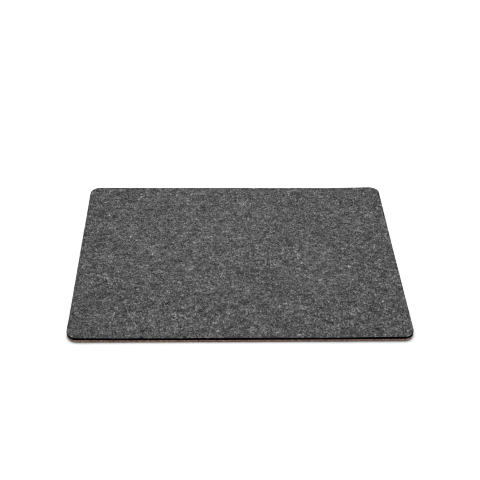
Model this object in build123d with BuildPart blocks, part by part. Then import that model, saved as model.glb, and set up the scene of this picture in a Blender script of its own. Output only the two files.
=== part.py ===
from build123d import *
import os

# Desk mat: a felt working surface bonded to a cork base, with rounded corners.
#
# The mat is a flat laminate of three full-size layers. From the desk up they are:
#
#     cork_base      agglomerated cork sheet, which grips and protects the desk
#     adhesive_film  hot-melt film, which bonds the two sheets over their whole area
#     felt_top       dense melange felt sheet, the working surface
#
# The layers are bonded first and cut to outline together, so they share one outline.
# The origin is at the centre of the underside: +X runs along the long side, +Y towards the
# far long edge, and +Z up, out of the felt. All lengths are in millimetres.

# The outline that the three layers share.
MAT_WIDTH = 400.0
MAT_DEPTH = 300.0
CORNER_RADIUS = 13.0

# The stack of layers.
CORK_THICKNESS = 3.0
FILM_THICKNESS = 0.2
FELT_THICKNESS = 3.0
FILM_BOTTOM = CORK_THICKNESS
FELT_BOTTOM = FILM_BOTTOM + FILM_THICKNESS

# The two outer rims are broken all round: the cork's so that it doesn't crumble on the desk,
# and the felt's because its fibres draw back where the hot cut ends at the surface.
CORK_RIM_CHAMFER = 0.3
FELT_RIM_RADIUS = 0.5

# Cork base, on the desk. Its lower rim is broken.
with BuildPart() as cork_base:
    with BuildSketch(Plane.XY):
        RectangleRounded(MAT_WIDTH, MAT_DEPTH, CORNER_RADIUS)
    extrude(amount=CORK_THICKNESS)
    underside = cork_base.faces().sort_by(Axis.Z).first
    chamfer(underside.edges(), length=CORK_RIM_CHAMFER)
cork_base.part.label = "cork_base"

# Adhesive film, between the two sheets. It ends flush with them.
with BuildPart() as adhesive_film:
    with BuildSketch(Plane.XY.offset(FILM_BOTTOM)):
        RectangleRounded(MAT_WIDTH, MAT_DEPTH, CORNER_RADIUS)
    extrude(amount=FILM_THICKNESS)
adhesive_film.part.label = "adhesive_film"

# Felt top, on the film. Its upper rim is softly rounded.
with BuildPart() as felt_top:
    with BuildSketch(Plane.XY.offset(FELT_BOTTOM)):
        RectangleRounded(MAT_WIDTH, MAT_DEPTH, CORNER_RADIUS)
    extrude(amount=FELT_THICKNESS)
    working_face = felt_top.faces().sort_by(Axis.Z).last
    fillet(working_face.edges(), radius=FELT_RIM_RADIUS)
felt_top.part.label = "felt_top"

# One STEP file for each layer, named after its node.
os.makedirs("parts", exist_ok=True)
export_step(cork_base.part, "parts/cork_base.step")
export_step(adhesive_film.part, "parts/adhesive_film.step")
export_step(felt_top.part, "parts/felt_top.step")
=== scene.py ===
import math

import bpy
import numpy as np
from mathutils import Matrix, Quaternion, Vector
from mathutils.geometry import delaunay_2d_cdt


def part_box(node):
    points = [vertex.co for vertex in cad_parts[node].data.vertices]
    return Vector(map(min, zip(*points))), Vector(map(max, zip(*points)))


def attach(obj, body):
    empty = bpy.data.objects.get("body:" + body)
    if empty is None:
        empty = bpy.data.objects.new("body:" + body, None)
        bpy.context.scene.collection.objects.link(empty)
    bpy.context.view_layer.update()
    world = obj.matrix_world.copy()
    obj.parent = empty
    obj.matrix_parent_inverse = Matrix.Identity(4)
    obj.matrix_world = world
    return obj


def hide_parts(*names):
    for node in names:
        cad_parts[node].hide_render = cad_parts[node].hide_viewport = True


# Looks of the desk mat, in metres. Its bonded sheets are rebuilt as meshes around the CAD frame:
#
#     felt_sheet     melange felt with a seared black cut edge
#     felt_fibres_*  loose fibres of three shades, matted into the felt's surface
#     film_sheet     the bonding film, which shows only as a line in the cut edge
#     cork_sheet     agglomerated cork with a charred cut edge
#
# The sheets share one outline, and stand off the floor in the same slightly uneven way.

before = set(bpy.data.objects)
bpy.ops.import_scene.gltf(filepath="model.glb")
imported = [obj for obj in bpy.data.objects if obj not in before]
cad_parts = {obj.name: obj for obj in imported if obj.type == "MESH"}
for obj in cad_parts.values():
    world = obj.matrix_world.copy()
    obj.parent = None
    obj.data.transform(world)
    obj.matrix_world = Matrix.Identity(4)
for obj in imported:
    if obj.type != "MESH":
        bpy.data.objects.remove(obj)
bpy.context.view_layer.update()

MM = 0.001

# ---------------------------------------------------------------- sizes

felt_low, felt_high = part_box("felt_top")
film_low, film_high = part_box("adhesive_film")
cork_low, cork_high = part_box("cork_base")
HALF_X = felt_high.x
HALF_Y = felt_high.y

# The same as in the CAD.
CORNER_RADIUS = 13 * MM
FELT_RIM = 0.5 * MM
CORK_RIM = 0.3 * MM

# The mat's edge hovers a little, and three corners have kept a slight curl from the roll.
HOVER = 0.4 * MM
HOVER_REACH = 30 * MM
CURLS = (
    # the corner's side in X and in Y, the curl's height, and its reach from the corner
    (1, 1, 1.6 * MM, 85 * MM),
    (-1, -1, 0.75 * MM, 68 * MM),
    (1, -1, 0.55 * MM, 130 * MM),
)

STEP = 0.85 * MM  # between neighbouring points round a sheet's edge
RISES = 6  # between the rings of points up a sheet's straight cut

# Loose fibres.
FIBRES = 8000  # of each shade
FIBRE_LENGTH = (4 * MM, 12 * MM)
FIBRE_DEPTH = 0.1 * MM  # of the buried ends below the felt's surface
JOINTS = 6  # along a fibre
SIDES = 3  # round a fibre
SHADES = (
    # name, darkest, lightest, (least, most) thickness, (least, most) rise from the ends to the middle, seed
    ("pale", 0.32, 0.72, (0.07 * MM, 0.13 * MM), (0.12 * MM, 0.4 * MM), 91),
    ("grey", 0.13, 0.32, (0.09 * MM, 0.16 * MM), (0.12 * MM, 0.35 * MM), 92),
    ("black", 0.013, 0.05, (0.09 * MM, 0.17 * MM), (0.12 * MM, 0.35 * MM), 93),
)

# ---------------------------------------------------------------- seeded noise


def lattice_values(cells, seed):
    """A random number from 0 to 1 for each integer cell, which is a hash of the cell and the seed."""
    key = cells[..., 0] * 73856093 ^ cells[..., 1] * 19349663 ^ cells[..., 2] * 83492791
    key = (key ^ seed * 668265263) & 0xFFFFFFFF
    for _ in range(2):
        key = ((key ^ key >> 15) * 2246822519) & 0xFFFFFFFF
        key = ((key ^ key >> 13) * 3266489917) & 0xFFFFFFFF
    return (key ^ key >> 16) / 0xFFFFFFFF


def soft_noise(points, size, seed):
    """Smooth noise from -1 to 1, with bumps about size across."""
    grid = points / size
    cell = np.floor(grid).astype(np.int64)
    part = eased(grid - cell)
    total = np.zeros(len(points))
    for corner in np.ndindex(2, 2, 2):
        weight = np.prod(np.where(corner, part, 1 - part), axis=1)
        total += weight * (2 * lattice_values(cell + corner, seed) - 1)
    return total


def granules(points, size, seed):
    """Each point's distance over size from the nearest granule's centre, and that granule's own number."""
    grid = points / size
    cell = np.floor(grid).astype(np.int64)
    nearest = np.full(len(points), np.inf)
    owner = np.zeros(len(points))
    for corner in np.ndindex(3, 3, 3):
        at = cell + corner - 1
        centre = at + np.stack([lattice_values(at, seed + k) for k in range(3)], axis=1)
        away = np.linalg.norm(grid - centre, axis=1)
        closer = away < nearest
        nearest[closer] = away[closer]
        owner[closer] = lattice_values(at, seed + 7)[closer]
    return nearest, owner


def eased(share):
    """share held between 0 and 1, with soft ends."""
    share = np.clip(share, 0, 1)
    return share * share * (3 - 2 * share)


# ---------------------------------------------------------------- the shared outline


def outline():
    """Points round the mat, about STEP apart, their outward directions, and their places round it up to 1."""
    flat_x = HALF_X - CORNER_RADIUS
    flat_y = HALF_Y - CORNER_RADIUS
    along_x = math.ceil(2 * flat_x / STEP)
    along_y = math.ceil(2 * flat_y / STEP)
    round_a_corner = math.ceil(CORNER_RADIUS * math.pi / 2 / STEP)
    points, outward = [], []
    for quarter in range(4):
        turn = quarter * math.pi / 2
        sign_x, sign_y = ((1, 1), (-1, 1), (-1, -1), (1, -1))[quarter]
        centre = np.array([sign_x * flat_x, sign_y * flat_y])
        for k in range(round_a_corner):
            angle = turn + math.pi / 2 * k / round_a_corner
            direction = np.array([math.cos(angle), math.sin(angle)])
            points.append(centre + CORNER_RADIUS * direction)
            outward.append(direction)
        count, run = ((along_x, flat_x), (along_y, flat_y))[quarter % 2]
        straight = np.array([math.cos(turn + math.pi / 2), math.sin(turn + math.pi / 2)])
        sideways = np.array([-straight[1], straight[0]])
        for k in range(count):
            points.append(centre + CORNER_RADIUS * straight + sideways * (2 * run * k / count))
            outward.append(straight)
    points, outward = np.array(points), np.array(outward)
    gaps = np.linalg.norm(np.diff(points, axis=0, append=points[:1]), axis=1)
    along = np.concatenate([[0], np.cumsum(gaps)[:-1]]) / gaps.sum()
    return points, outward, along


def wander(along):
    """How far the cut strays outwards from the true outline, at places round it from 0 to 1."""
    draw = np.random.default_rng(11)
    total = np.zeros(len(along))
    for waves in (3, 5, 9, 14, 22, 37, 61):
        height = 0.07 * MM / (1 + waves / 20)
        total += height * np.sin(2 * math.pi * (waves * along + draw.random()))
    return total


def inside_by(points):
    """How far inside the true outline each point is."""
    corner = np.abs(points) - np.array([HALF_X - CORNER_RADIUS, HALF_Y - CORNER_RADIUS])
    reach = np.linalg.norm(np.maximum(corner, 0), axis=1) + np.minimum(corner.max(axis=1), 0)
    return CORNER_RADIUS - reach


def lift(points):
    """How far the mat stands off the floor at each point."""
    total = HOVER * eased(1 - inside_by(points[:, :2]) / HOVER_REACH)
    for side_x, side_y, height, reach in CURLS:
        from_corner = np.hypot(points[:, 0] - side_x * HALF_X, points[:, 1] - side_y * HALF_Y)
        total += height * eased(1 - from_corner / reach)
    return total


# ---------------------------------------------------------------- sheets of mesh


def lattice(spacing, inset, seed):
    """Points on a slightly shaken triangular lattice, further than inset inside the outline."""
    rows = np.arange(-HALF_Y, HALF_Y, spacing * math.sqrt(3) / 2)
    columns = np.arange(-HALF_X, HALF_X, spacing)
    x, y = np.meshgrid(columns, rows)
    x = x + (np.arange(len(rows)) % 2)[:, None] * spacing / 2
    points = np.stack([x.ravel(), y.ravel()], axis=1)
    points += np.random.default_rng(seed).uniform(-0.16, 0.16, points.shape) * spacing
    return points[inside_by(points) > inset]


def fill(ring, spacing, inset, seed):
    """Points that fill a ring, and triangles over the ring's points and then those."""
    inner = lattice(spacing, inset + 0.75 * spacing, seed)
    flat = np.concatenate([ring, inner])
    made = delaunay_2d_cdt([Vector(p) for p in flat], [], [list(range(len(ring)))], 0, 1e-9, True)
    source = np.array([came_from[0] for came_from in made[3]])
    triangles = np.sort(source[np.array(made[2])], axis=1)
    a, b, c = (flat[triangles[:, k]] for k in range(3))
    turned = (b - a)[:, 0] * (c - a)[:, 1] - (b - a)[:, 1] * (c - a)[:, 0] < 0
    longest = np.max([np.linalg.norm(p - q, axis=1) for p, q in ((a, b), (b, c), (c, a))], axis=0)
    bridges = turned | (longest > 5 * spacing)  # as a triangle over a hollow in the ring does
    outside = bridges & (triangles.max(axis=1) < len(ring))
    triangles[turned] = triangles[turned][:, ::-1]
    return inner, triangles[~outside]


def sheet(edge, top_spacing, under_spacing, seed):
    """A closed sheet. edge lists its rings as (inset, height), from the underside up the cut to the top.
    It gives the points, their rows, their outward directions and the faces. A row is a ring's place in
    edge, len(edge) on the rest of the top, or -1 on the rest of the underside. The rest has no direction."""
    base, outward, along = outline()
    strayed = wander(along)
    flats = [base + outward * (strayed - inset)[:, None] for inset, _ in edge]
    n = len(base)
    faces = []
    for k in range(len(edge) - 1):
        lower = np.arange(n) + k * n
        after = np.roll(lower, -1)
        faces.append(np.stack([lower, after, after + n, lower + n], axis=1))
    top, top_faces = fill(flats[-1], top_spacing, edge[-1][0], seed)
    under, under_faces = fill(flats[0], under_spacing, edge[0][0], seed + 1)
    start = len(edge) * n
    last = start - n
    top_faces = np.where(top_faces < n, top_faces + last, top_faces - n + start)
    under_faces = np.where(under_faces < n, under_faces, under_faces - n + start + len(top))[:, ::-1]
    counts = [n] * len(edge) + [len(top), len(under)]
    heights = [height for _, height in edge] + [edge[-1][1], edge[0][1]]
    points = np.column_stack([np.concatenate([*flats, top, under]), np.repeat(heights, counts)])
    row = np.repeat([*range(len(edge) + 1), -1], counts)
    outwards = np.zeros((len(points), 2))
    outwards[:start] = np.tile(outward, (len(edge), 1))
    faces = [*np.concatenate(faces).tolist(), *top_faces.tolist(), *under_faces.tolist()]
    return points, row, outwards, faces


def mesh_piece(name, points, faces, materials, slots=None, **attributes):
    """A smooth-shaded object of these points and faces. Each attribute gives every point a number.
    slots gives each face's place in materials."""
    mesh = bpy.data.meshes.new(name)
    mesh.from_pydata(points.tolist(), [], faces)
    for key, values in attributes.items():
        mesh.attributes.new(key, "FLOAT", "POINT").data.foreach_set("value", values.astype(np.float32))
    mesh.polygons.foreach_set("use_smooth", [True] * len(mesh.polygons))
    for material in materials:
        mesh.materials.append(material)
    if slots is not None:
        mesh.polygons.foreach_set("material_index", slots)
    mesh.validate()
    piece = bpy.data.objects.new(name, mesh)
    bpy.context.scene.collection.objects.link(piece)
    return piece


# ---------------------------------------------------------------- material nodes


class Tree:
    """Short calls that add a node to one material and return its output."""

    def __init__(self, name):
        self.material = bpy.data.materials.new(name)
        self.material.use_nodes = True
        self.tree = self.material.node_tree
        self.shader = self.tree.nodes["Principled BSDF"]
        self.place = self.tree.nodes.new("ShaderNodeTexCoord").outputs["Object"]

    def put(self, socket, value):
        """Links value to the socket if it is another node's output, and else sets it there."""
        if isinstance(value, bpy.types.NodeSocket):
            self.tree.links.new(value, socket)
        else:
            socket.default_value = value

    def maths(self, operation, *values):
        node = self.tree.nodes.new("ShaderNodeMath")
        node.operation = operation
        for socket, value in zip(node.inputs, values):
            self.put(socket, value)
        return node.outputs[0]

    def added(self, value, weight, total):
        """total with weight times value added to it."""
        return self.maths("MULTIPLY_ADD", value, weight, total)

    def centred(self, noise):
        """Noise about 0 instead of about its middle value."""
        return self.maths("SUBTRACT", noise, 0.5)

    def vectors(self, operation, a, b=None, scale_by=None):
        node = self.tree.nodes.new("ShaderNodeVectorMath")
        node.operation = operation
        self.put(node.inputs[0], a)
        if b is not None:
            self.put(node.inputs[1], b)
        if scale_by is not None:
            node.inputs["Scale"].default_value = scale_by
        return node.outputs[0]

    def moved(self, place, squeeze, turn=0.0):
        """place changed so that a pattern there is turned about Z, and finer by squeeze along each axis."""
        node = self.tree.nodes.new("ShaderNodeMapping")
        node.vector_type = "TEXTURE"
        self.put(node.inputs["Vector"], place)
        node.inputs["Rotation"].default_value = (0, 0, turn)
        node.inputs["Scale"].default_value = [1 / finer for finer in squeeze]
        return node.outputs[0]

    def warped(self, scale, seed, by):
        """The place, pushed about by up to by metres by noise of that scale."""
        push = self.vectors("SUBTRACT", self.noise(scale, seed, 1.0, output="Color"), (0.5, 0.5, 0.5))
        return self.vectors("ADD", self.place, self.vectors("SCALE", push, scale_by=2 * by))

    def noise(self, scale, seed, detail=2.0, roughness=0.5, place=None, output="Fac"):
        """Noise from 0 to 1, of scale bumps in a metre."""
        node = self.tree.nodes.new("ShaderNodeTexNoise")
        node.noise_dimensions = "4D"
        self.put(node.inputs["Vector"], self.place if place is None else place)
        node.inputs["W"].default_value = seed * 3.7
        node.inputs["Scale"].default_value = scale
        node.inputs["Detail"].default_value = detail
        node.inputs["Roughness"].default_value = roughness
        return node.outputs[output]

    def granules(self, scale, output, place):
        """Cells, of scale in a metre: each one's random Color, or the Distance from its centre."""
        node = self.tree.nodes.new("ShaderNodeTexVoronoi")
        self.put(node.inputs["Vector"], place)
        node.inputs["Scale"].default_value = scale
        return node.outputs[output]

    def attribute(self, name):
        node = self.tree.nodes.new("ShaderNodeAttribute")
        node.attribute_name = name
        return node.outputs["Fac"]

    def between(self, value, low, high, to_low=0.0, to_high=1.0, smooth=True):
        """value taken from low..high to to_low..to_high, and held there past the ends."""
        node = self.tree.nodes.new("ShaderNodeMapRange")
        node.interpolation_type = "SMOOTHSTEP" if smooth else "LINEAR"
        self.put(node.inputs["Value"], value)
        node.inputs["From Min"].default_value = low
        node.inputs["From Max"].default_value = high
        node.inputs["To Min"].default_value = to_low
        node.inputs["To Max"].default_value = to_high
        return node.outputs["Result"]

    def colours(self, value, *stops):
        """A colour ramp through (position, (red, green, blue)) stops."""
        node = self.tree.nodes.new("ShaderNodeValToRGB")
        self.put(node.inputs[0], value)
        ramp = node.color_ramp
        while len(ramp.elements) < len(stops):
            ramp.elements.new(0.5)
        for element, (position, colour) in zip(ramp.elements, stops):
            element.position = position
            element.color = (*colour, 1)
        return node.outputs[0]

    def mixed(self, share, a, b):
        """Colour a, turning to colour b as share goes from 0 to 1."""
        node = self.tree.nodes.new("ShaderNodeMix")
        node.data_type = "RGBA"
        self.put(node.inputs[0], share)
        for socket, colour in ((node.inputs[6], a), (node.inputs[7], b)):
            self.put(socket, (*colour, 1) if isinstance(colour, tuple) else colour)
        return node.outputs[2]

    def bump(self, height, strength, distance):
        """Raises the surface by height, up to distance in metres."""
        node = self.tree.nodes.new("ShaderNodeBump")
        node.inputs["Strength"].default_value = strength
        node.inputs["Distance"].default_value = distance
        self.put(node.inputs["Height"], height)
        self.put(self.shader.inputs["Normal"], node.outputs[0])

    def finish(self, colour, roughness, specular):
        """Sets the shader's colour, roughness and mirror-like share, and gives the material."""
        self.put(self.shader.inputs["Base Color"], colour)
        self.put(self.shader.inputs["Roughness"], roughness)
        self.shader.inputs["Specular IOR Level"].default_value = specular
        return self.material


# ---------------------------------------------------------------- materials


def curling_hairs(tree, place, scale, width, seed):
    """Thin curling hairs, from 0 to 1: where a smooth noise passes its middle value, in short runs."""
    height = tree.noise(scale, seed, 1.5, 0.4, place)
    line = tree.between(tree.maths("ABSOLUTE", tree.centred(height)), 0.0, width, 1.0, 0.0)
    runs = tree.between(tree.noise(scale * 1.3, seed + 40, 0.0, 0.5, place), 0.46, 0.6)
    return tree.maths("MULTIPLY", line, runs)


def straight_hairs(tree, place, turn, seed):
    """Fine hairs, from 0 to 1, at an angle of turn. Each is about 4 mm long and 0.1 mm wide."""
    stretched = tree.moved(place, (250, 4000, 1), turn)
    return tree.between(tree.noise(1, seed, 0.0, 0.5, stretched), 0.55, 0.75)


def felt_material():
    """Melange felt: dark and light fibres matted together, black where the cut seared it.
    The tone of tufts and hairs is about 0 on average, and the brightness is a power of it."""
    tufts = (
        # bumps in a metre, how much finer they are along X, seed, weight
        (60, 1, 2, 0.28),
        (150, 0.85, 3, 0.41),
        (250, 0.9, 4, 0.62),
        (300, 1.6, 5, 1.0),
        (350, 2, 6, 0.3),
    )
    curls = (
        # bumps in a metre, width, seed, weight
        (150, 0.06, 6, 0.18),
        (190, 0.06, 7, -0.18),
        (290, 0.08, 8, 0.14),
    )
    ways = 4
    mean_brightness = 0.0548
    contrast = 12.0
    seared_black = (0.002, 0.0021, 0.003)
    t = Tree("felt")
    shaken = t.warped(260, 1, 0.9 * MM)
    tone = 0.0
    for scale, squeeze, seed, weight in tufts:
        tuft = t.noise(scale, seed, 0.0, 0.5, t.moved(shaken, (squeeze, 1, 1)))
        tone = t.added(t.centred(tuft), weight, tone)
    for way in range(ways):
        turn = math.pi * way / ways
        tone = t.added(straight_hairs(t, shaken, turn + 0.2, 100 + way), 0.3, tone)
        tone = t.added(straight_hairs(t, shaken, turn + 0.5, 200 + way), -0.3, tone)
    for scale, width, seed, weight in curls:
        tone = t.added(curling_hairs(t, shaken, scale, width, seed), weight, tone)
    # Painted light: darker away from one bright spot, as a pool of light falling there would make it.
    tone = t.added(t.attribute("painted_light_falloff"), -0.06, tone)
    brightness = t.maths("MULTIPLY", t.maths("POWER", contrast, tone), mean_brightness)
    shade = t.tree.nodes.new("ShaderNodeCombineColor")
    for socket in shade.inputs[:3]:
        t.put(socket, brightness)
    seared = t.between(t.added(t.centred(t.noise(900, 9)), 0.3, t.attribute("seared")), 0.35, 0.6)
    colour = t.mixed(seared, shade.outputs[0], seared_black)
    t.bump(t.noise(1600, 10, 3.0, 0.6, shaken), 0.5, 0.12 * MM)
    return t.finish(colour, t.between(tone, -0.6, 0.6, 1.0, 0.85), 0.06)


def seared_material():
    """The felt's cut edge: fibres melted and charred to a black crust."""
    t = Tree("seared_felt")
    tone = t.noise(1400, 11, 3.0, 0.6)
    colour = t.colours(tone, (0.35, (0.0003, 0.0004, 0.0012)), (0.75, (0.002, 0.0022, 0.004)))
    t.bump(tone, 0.5, 0.1 * MM)
    return t.finish(colour, t.between(tone, 0.3, 0.7, 0.95, 0.7), 0.0)


def fibre_material(name, dark, light):
    """A loose fibre's colour, from dark to light by its own tone, mottled along it."""
    t = Tree(name)
    tone = t.added(t.centred(t.noise(900, 14)), 0.8, t.attribute("tone"))
    colour = t.colours(tone, (0.0, (dark,) * 3), (1.0, (light,) * 3))
    return t.finish(colour, t.between(tone, 0.0, 1.0, 0.95, 0.75), 0.1)


def film_material():
    """Hot-melt film, scorched where it was cut."""
    t = Tree("film")
    tone = t.noise(500, 31, 3.0, 0.6)
    colour = t.colours(tone, (0.3, (0.003, 0.0026, 0.003)), (0.7, (0.016, 0.012, 0.011)))
    t.bump(tone, 0.3, 0.05 * MM)
    return t.finish(colour, t.between(tone, 0.3, 0.7, 0.7, 0.45), 0.3)


def cork_material():
    """Agglomerated cork: tan granules with dark bark specks.
    The cut edge is charred red-brown, and charred nearly black along its top rim.
    Along its bottom rim, by the floor, it is nearly black with painted shade for the contact shadow."""
    # Near black for the rims: charring on the top rim, and painted contact shade on the bottom rim.
    scorch_and_shade_black = (0.02, 0.015, 0.014)
    t = Tree("cork")
    shaken = t.warped(700, 21, 0.4 * MM)
    granule = t.between(t.granules(750, "Color", shaken), 0.2, 0.8, 0.17, 0.75, smooth=False)
    speck = t.between(t.granules(1300, "Color", shaken), 0.26, 0.34, -0.45, 0.0)
    tone = t.maths("ADD", t.added(t.noise(1500, 22, 3.0), 0.35, granule), speck)
    tan = t.colours(
        tone,
        (0.15, (0.16, 0.075, 0.035)),
        (0.45, (0.4, 0.23, 0.12)),
        (0.85, (0.55, 0.35, 0.2)),
    )
    brown = t.colours(
        tone,
        (0.1, (0.055, 0.026, 0.015)),
        (0.5, (0.21, 0.113, 0.075)),
        (0.9, (0.4, 0.24, 0.17)),
    )
    # The bottom rim's near black is painted shade for the contact shadow; the top rim's is charring.
    brown = t.mixed(t.attribute("scorched"), brown, scorch_and_shade_black)
    colour = t.mixed(t.between(t.attribute("charred"), 0.2, 0.8), tan, brown)
    t.bump(t.granules(750, "Distance", shaken), 0.4, 0.2 * MM)
    return t.finish(colour, t.between(tone, 0.2, 0.9, 0.95, 0.75), 0.2)


# ---------------------------------------------------------------- the three sheets


def felt_relief(points):
    """Height of the felt's surface about its mean: soft lumps, and matted fibres on them."""
    flat = np.column_stack([points[:, :2], np.zeros(len(points))])
    total = 0.05 * MM * soft_noise(flat, 14 * MM, 51)
    total += 0.05 * MM * soft_noise(flat, 5 * MM, 52)
    total += 0.06 * MM * soft_noise(flat, 2.6 * MM, 53)
    return total


def felt_sheet():
    low, high = felt_low.z, felt_high.z
    rim_low = high - FELT_RIM
    edge = [(1.2 * MM, low), (0.0, low)]
    edge += [(0.0, low + (rim_low - low) * k / RISES) for k in range(1, RISES + 1)]
    rim_start = len(edge) - 1
    for angle in np.radians((25, 50, 72, 90)):
        edge.append((FELT_RIM * (1 - math.cos(angle)), rim_low + FELT_RIM * math.sin(angle)))
    rim_end = len(edge) - 1
    edge += [(1.5 * MM, high)]
    points, row, outward, faces = sheet(edge, 1.36 * MM, 6 * MM, 61)
    rough = 0.07 * MM * soft_noise(points * (1, 1, 0.4), 0.9 * MM, 62)
    rough += 0.06 * MM * soft_noise(points * (1, 1, 0.3), 2.5 * MM, 63)
    cut = (row >= 1) & (row < rim_end)
    points[:, :2] += outward * (rough * cut)[:, None]
    points[:, 2] += felt_relief(points) * np.clip((row - rim_start) / (rim_end - rim_start), 0, 1)
    points[:, 2] += lift(points)
    # The cut is black up to its rim, and the black fades out over the rim. The faces of the cut, with the
    # first of the rim's, have a material of their own.
    seared = np.interp(row, range(rim_start, rim_end + 1), (1, 0.8, 0.45, 0.1, 0))
    around = np.count_nonzero(row == 0)
    on_cut = np.arange(len(faces)) < (rim_start + 1) * around
    # Painted light: the felt is painted a little brighter near one place, behind its middle and to the right,
    # and darker away from it, as a pool of light would leave it.
    painted_light_centre = (30 * MM, 15 * MM)
    painted_light_reach = (250 * MM, 220 * MM)
    painted_light_falloff = (((points[:, :2] - painted_light_centre) / painted_light_reach) ** 2).sum(axis=1)
    attributes = {"seared": seared, "painted_light_falloff": painted_light_falloff}
    materials = [felt_material(), seared_material()]
    return mesh_piece("felt_sheet", points, faces, materials, on_cut.astype(int), **attributes)


def film_sheet():
    low, high = film_low.z, film_high.z
    middle = (low + high) / 2
    edge = [(1.5 * MM, low), (0.0, low), (-0.03 * MM, middle), (0.0, high), (1.5 * MM, high)]
    points, row, outward, faces = sheet(edge, 9 * MM, 9 * MM, 71)
    rough = 0.05 * MM * soft_noise(points, 1.1 * MM, 72)
    cut = (row >= 1) & (row <= 3)
    points[:, :2] += outward * (rough * cut)[:, None]
    points[:, 2] += lift(points)
    return mesh_piece("film_sheet", points, faces, [film_material()])


def cork_sheet():
    low, high = cork_low.z, cork_high.z
    rim_high = low + CORK_RIM
    edge = [(1.6 * MM, low), (CORK_RIM, low), (0.35 * CORK_RIM, low + 0.35 * CORK_RIM), (0.0, rim_high)]
    rim_end = len(edge) - 1
    edge += [(0.0, rim_high + (high - rim_high) * k / RISES) for k in range(1, RISES + 1)]
    cut_end = len(edge) - 1
    edge += [(1.2 * MM, high)]
    points, row, outward, faces = sheet(edge, 9 * MM, 1.75 * MM, 81)
    distance, owner = granules(points, 1.3 * MM, 82)
    fallen_out = owner > 0.82
    bulge = 0.16 * MM * (0.55 - distance) - 0.14 * MM * fallen_out * np.clip(1 - distance, 0, 1)
    cut = (row >= 1) & (row <= cut_end)
    points[:, :2] += outward * (bulge * cut)[:, None]
    distance, _ = granules(points, 2.2 * MM, 83)
    points[:, 2] += 0.07 * MM * distance * (row <= 0)
    points[:, 2] += lift(points)
    charred = np.interp(row, (-1, 0, 1, 2), (0, 0.1, 0.6, 1))
    # Nearly black on the cut's rims: charring along the top rim, and painted shade along the bottom rim by
    # the floor, where the contact shadow falls.
    bands = (0, 1, rim_end, rim_end + 1, cut_end - 1, cut_end)
    scorched = np.interp(row, bands, (0, 0.8, 0.8, 0, 0, 0.75))
    return mesh_piece("cork_sheet", points, faces, [cork_material()], charred=charred, scorched=scorched)


# ---------------------------------------------------------------- loose fibres


def curling_lines(draw):
    """Up to FIBRES curling lines on the mat, of JOINTS points each, and the headings between the points."""
    count = 2 * FIBRES  # as those that pass the rim are left out
    middle = draw.uniform((-HALF_X, -HALF_Y), (HALF_X, HALF_Y), (count, 2))
    run = draw.uniform(*FIBRE_LENGTH, count)[:, None] / (JOINTS - 1)
    heading = draw.uniform(0, 2 * math.pi, count)[:, None]
    bend = draw.normal(0, 1.3, count)[:, None] * np.linspace(-0.5, 0.5, JOINTS - 1)
    heading = heading + bend + draw.normal(0, 0.12, (count, JOINTS - 1))
    steps = np.stack([run * np.cos(heading), run * np.sin(heading)], axis=2)
    from_start = np.concatenate([np.zeros((count, 1, 2)), np.cumsum(steps, axis=1)], axis=1)
    line = middle[:, None] + from_start - steps.sum(axis=1)[:, None] / 2
    within = (inside_by(line.reshape(-1, 2)).reshape(count, JOINTS) > FELT_RIM).all(axis=1)
    return line[within][:FIBRES], heading[within][:FIBRES]


def spindle_faces(count):
    """Faces of count closed spindles: each has a tip, SIDES points round every inner joint, and a tip."""
    each = SIDES * (JOINTS - 2) + 2
    after = [(k + 1) % SIDES for k in range(SIDES)]
    faces = [(0, 1 + after[k], 1 + k) for k in range(SIDES)]
    tip = each - 1
    last = tip - SIDES
    for base in range(1, last, SIDES):
        beyond = base + SIDES
        faces += [(base + k, base + after[k], beyond + after[k], beyond + k) for k in range(SIDES)]
    faces += [(last + k, last + after[k], tip) for k in range(SIDES)]
    starts = range(0, count * each, each)
    return [tuple(start + corner for corner in face) for start in starts for face in faces]


def fibres(name, material, thickness, rise, seed):
    """Loose curling fibres matted into the felt's surface, each a closed spindle whose ends are buried."""
    draw = np.random.default_rng(seed)
    line, heading = curling_lines(draw)
    count = len(line)
    share = np.linspace(0, 1, JOINTS)
    arch = np.sin(math.pi * share)
    high = draw.uniform(*rise, count)[:, None] * arch * draw.uniform(0.5, 1.1, (count, JOINTS))
    flat = np.column_stack([line.reshape(-1, 2), np.zeros(count * JOINTS)])
    surface = (felt_high.z + felt_relief(flat) + lift(flat)).reshape(count, JOINTS)
    centre = np.concatenate([line, (surface - FIBRE_DEPTH + high)[..., None]], axis=2)
    radius = draw.uniform(*thickness, count)[:, None] / 2 * arch**0.35
    turn = np.concatenate([heading[:, :1], (heading[:, 1:] + heading[:, :-1]) / 2, heading[:, -1:]], axis=1)
    side = np.stack([-np.sin(turn), np.cos(turn), np.zeros_like(turn)], axis=2)
    up = np.array([0, 0, 1])
    around = []
    for k in range(SIDES):
        angle = math.pi / 2 + 2 * math.pi * k / SIDES
        around.append(centre + radius[..., None] * (math.cos(angle) * side + math.sin(angle) * up))
    inner = np.stack(around, axis=2)[:, 1:-1].reshape(count, -1, 3)
    points = np.concatenate([centre[:, :1], inner, centre[:, -1:]], axis=1)
    tone = np.repeat(draw.uniform(0, 1, count), points.shape[1])
    return mesh_piece(name, points.reshape(-1, 3), spindle_faces(count), [material], tone=tone)


# ---------------------------------------------------------------- the pieces in the frame

felt = felt_sheet()
film = film_sheet()
cork = cork_sheet()
loose = []
for shade, darkest, lightest, thickness, rise, seed in SHADES:
    material = fibre_material(f"{shade}_fibres", darkest, lightest)
    loose.append(fibres(f"felt_fibres_{shade}", material, thickness, rise, seed))

for pieces, node, slot in (
    ([felt, *loose], "felt_top", "felt"),
    ([film], "adhesive_film", "adhesive"),
    ([cork], "cork_base", "cork"),
):
    for piece in pieces:
        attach(piece, "root")
        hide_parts(node)

# ---------------------------------------------------------------- floor, light and camera


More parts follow.
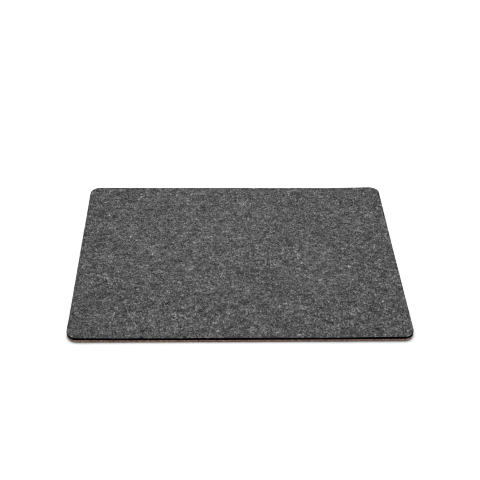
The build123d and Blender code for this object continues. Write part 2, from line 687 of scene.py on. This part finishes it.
def floor():
    reach = 50.0
    height = -0.02 * MM  # just clear of the cork
    mesh = bpy.data.meshes.new("floor")
    corners = [(-reach, -reach), (reach, -reach), (reach, reach), (-reach, reach)]
    mesh.from_pydata([(x, y, height) for x, y in corners], [], [(0, 1, 2, 3)])
    t = Tree("floor")
    pale = t.colours(t.noise(3, 41, 1.0), (0.3, (0.753, 0.77, 0.773)), (0.7, (0.773, 0.79, 0.793)))
    mesh.materials.append(t.finish(pale, 0.9, 0.1))
    made = bpy.data.objects.new("floor", mesh)
    bpy.context.scene.collection.objects.link(made)


def light():
    """An even white studio, and one large round softbox overhead, aimed at the mat."""
    world = bpy.data.worlds.new("studio")
    world.use_nodes = True
    studio = world.node_tree.nodes["Background"]
    studio.inputs["Color"].default_value = (1, 1, 1, 1)
    studio.inputs["Strength"].default_value = 0.62
    bpy.context.scene.world = world
    lamp = bpy.data.lights.new("softbox", "AREA")
    lamp.shape = "DISK"
    lamp.size = 1.5
    lamp.energy = 54
    softbox = bpy.data.objects.new("softbox", lamp)
    softbox.location = (-0.12, 0.38, 2.42)
    softbox.rotation_mode = "QUATERNION"
    softbox.rotation_quaternion = softbox.location.to_track_quat("Z", "Y")
    bpy.context.scene.collection.objects.link(softbox)


def camera():
    """A long lens that looks down on the mat from the front, turned and tilted a little."""
    elevation = math.radians(37.94)
    azimuth = math.radians(2.505)
    roll = math.radians(1.498)
    distance = 1.1925
    aim = Vector((0.0033, 0.0320, felt_high.z))
    level = math.cos(elevation)
    forward = Vector((math.sin(azimuth) * level, math.cos(azimuth) * level, -math.sin(elevation)))
    data = bpy.data.cameras.new("camera")
    data.sensor_width = 36
    data.lens = 68.955
    made = bpy.data.objects.new("camera", data)
    made.location = aim - forward * distance
    made.rotation_mode = "QUATERNION"
    made.rotation_quaternion = forward.to_track_quat("-Z", "Y") @ Quaternion((0, 0, 1), roll)
    bpy.context.scene.collection.objects.link(made)
    bpy.context.scene.camera = made


floor()
light()
camera()
bpy.context.scene.view_settings.view_transform = "Standard"
bpy.context.scene.cycles.filter_width = 1.0
